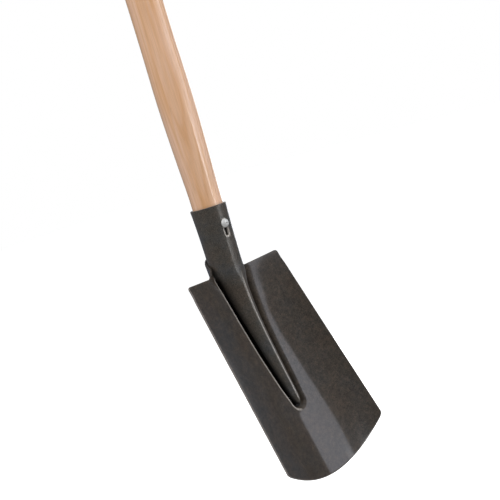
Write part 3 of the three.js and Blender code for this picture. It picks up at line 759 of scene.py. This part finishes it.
def build_wedge():
    ob = wedge_solid("tenon_wedge_wood", 0.0)
    boolean(ob, cylinder("round", TENON_R, "Z", TOP_Z - 40, TOP_Z + 4), "INTERSECT")
    boolean(ob, cylinder("crown", GRIP_R - 0.1, "X", -60, 60, (0, 0, GRIP_Z), 144), "INTERSECT")
    weld(ob)
    shade(ob, 30)
    return ob


finish_piece(build_wedge(), "tenon_wedge", OAK)


def build_pin():
    prof = [(1.3, -PIN_HALF), (1.7, -PIN_HALF + 0.08), (1.92, -PIN_HALF + 0.3), (PIN_R, -PIN_HALF + 0.6)]
    prof = prof + [(r, -h) for r, h in prof[::-1]]
    rings = lathe(prof, "Y", 48, (PIN_X, 0, GRIP_Z))
    return mesh_object("grip_pin_steel", np.concatenate(rings), loft(rings), 35)


finish_piece(build_pin(), "grip_pin", ZINC)


# --------------------------------------------------------------------- camera
AZ, EL, ROLL = math.radians(46.69), math.radians(5.967), math.radians(-17.019)
FOCAL, DIST, TX, TY = 1147.09, 1274.107, 24.544, 23.922
b = np.array([-math.sin(AZ) * math.cos(EL), -math.cos(AZ) * math.cos(EL), math.sin(EL)])
right = np.array([math.cos(AZ), -math.sin(AZ), 0.0])
up = np.array([math.sin(EL) * math.sin(AZ), math.sin(EL) * math.cos(AZ), math.cos(EL)])
R2 = math.cos(ROLL) * right + math.sin(ROLL) * up
U2 = -math.sin(ROLL) * right + math.cos(ROLL) * up
cam = bpy.data.cameras.new("camera")
cam.sensor_width = 36.0
cam.lens = FOCAL / 500.0 * 36.0
cam.clip_start, cam.clip_end = 0.05, 60
camera = bpy.data.objects.new("camera", cam)
scene.collection.objects.link(camera)
pos = np.array(ORIGIN) + (DIST * b + TX * R2 + TY * U2) * MM
camera.matrix_world = Matrix([[R2[i], U2[i], b[i], pos[i]] for i in range(3)] + [[0, 0, 0, 1]])
scene.camera = camera


# ---------------------------------------------------------------- stage, light
def stage_material():
    """Pale matt studio floor, lit up like a light table so that it reads as plain white."""
    m, nt, bs = new_material("studio_floor")
    n = Nodes(nt)
    n.link(n.ramp(n.noise(3, 3, 0.5), [(0.3, (0.90, 0.90, 0.90)), (0.7, (0.93, 0.93, 0.93))]), bs.inputs["Base Color"])
    bs.inputs["Roughness"].default_value = 0.9
    bs.inputs["Emission Color"].default_value = (1, 1, 1, 1)
    bs.inputs["Emission Strength"].default_value = 0.75
    return m


FLOOR_Z = -0.35
DARK, BACK, TOP_L, BOTTOM_L = 0.08, 0.14, 0.5, 0.4
KEY_L, LOW_L, RIM_L, WOOD_L = 1.65, 1.3, 2.4, 11.0
BACK_DIR = (math.sin(math.radians(162)), -math.cos(math.radians(162)))
bm = bmesh.new()
bmesh.ops.create_grid(bm, x_segments=8, y_segments=8, size=14.0)
me = bpy.data.meshes.new("floor")
bm.to_mesh(me)
bm.free()
floor = bpy.data.objects.new("floor", me)
floor.location = (0, 0, FLOOR_Z)
floor.visible_glossy = False
floor.visible_diffuse = False
scene.collection.objects.link(floor)
me.materials.append(stage_material())

# The studio around the object: a white backdrop behind it, bright from above and from the
# floor, dark in front; camera rays see plain white.
world = bpy.data.worlds.new("studio")
scene.world = world
world.use_nodes = True
wt = world.node_tree
wt.nodes.clear()
w = Nodes.__new__(Nodes)
w.nt = wt
w.coord = wt.nodes.new("ShaderNodeTexCoord").outputs["Generated"]
wx, wy, wz = w.split()
behind = w.math("ADD", w.math("MULTIPLY", wx, BACK_DIR[0]), w.math("MULTIPLY", wy, BACK_DIR[1]))
level = w.mix(w.ramp(w.math("ADD", w.math("MULTIPLY", behind, 0.5), 0.5), [(0.492, 0.0), (0.508, 1.0)]), (DARK,) * 3, (BACK * 0.88, BACK, BACK * 1.2))
height = w.math("ADD", w.math("MULTIPLY", wz, 0.5), 0.5)
level = w.mix(w.ramp(height, [(0.78, 0.0), (0.88, 1.0)]), level, (TOP_L,) * 3)
level = w.mix(w.ramp(height, [(0.16, 1.0), (0.30, 0.0)]), level, (BOTTOM_L,) * 3)
wo = wt.nodes.new("ShaderNodeOutputWorld")
bg_seen = wt.nodes.new("ShaderNodeBackground")
bg_light = wt.nodes.new("ShaderNodeBackground")
mixw = wt.nodes.new("ShaderNodeMixShader")
lp = wt.nodes.new("ShaderNodeLightPath")
bg_seen.inputs["Color"].default_value = (1, 1, 1, 1)
wt.links.new(level, bg_light.inputs["Color"])
wt.links.new(lp.outputs["Is Camera Ray"], mixw.inputs[0])
wt.links.new(bg_light.outputs[0], mixw.inputs[1])
wt.links.new(bg_seen.outputs[0], mixw.inputs[2])
wt.links.new(mixw.outputs[0], wo.inputs[0])


def softbox(name, azimuth, elevation, distance, size, radiance, target=(0, 0, 0.15), colour=(1, 1, 1), tilt=0.0):
    """A rectangular studio light; azimuth is measured from the front (-Y) towards +X."""
    a, e = math.radians(azimuth), math.radians(elevation)
    d = Vector((math.sin(a) * math.cos(e), -math.cos(a) * math.cos(e), math.sin(e)))
    light = bpy.data.lights.new(name, "AREA")
    light.shape, light.size, light.size_y = "RECTANGLE", size[0], size[1]
    light.energy, light.color = radiance * math.pi * size[0] * size[1], colour
    ob = bpy.data.objects.new(name, light)
    ob.location = Vector(target) + d * distance
    turn = (-d).to_track_quat("-Z", "Y").to_matrix().to_4x4()
    ob.rotation_euler = (turn @ Matrix.Rotation(math.radians(tilt), 4, "Z")).to_euler()
    ob.visible_camera = False
    scene.collection.objects.link(ob)
    return ob


COOL = (0.93, 0.97, 1.10)
softbox("key", 40.2, 15, 2.4, (1.03, 1.2), KEY_L, colour=COOL)
softbox("low_key", 22, -5, 2.4, (0.9, 0.95), LOW_L)
softbox("rim", 122, 2, 2.4, (1.1, 1.2), RIM_L)
softbox("wood_streak", 17, 0, 2.4, (0.26, 0.36), WOOD_L, target=(0, 0, 0.26))
for name, azimuth, elevation, radiance in (("fill_left", -105, 22, 2.4), ("fill_front", -35, 42, 2.6), ("fill_right", 50, 30, 2.8), ("fill_back", 180, 35, 1.6)):
    softbox(name, azimuth, elevation, 2.8, (2.2, 2.2), radiance).visible_glossy = False

scene.view_settings.view_transform = "Standard"
scene.view_settings.look = "None"
scene.view_settings.exposure = 0.0
scene.view_settings.gamma = 1.0
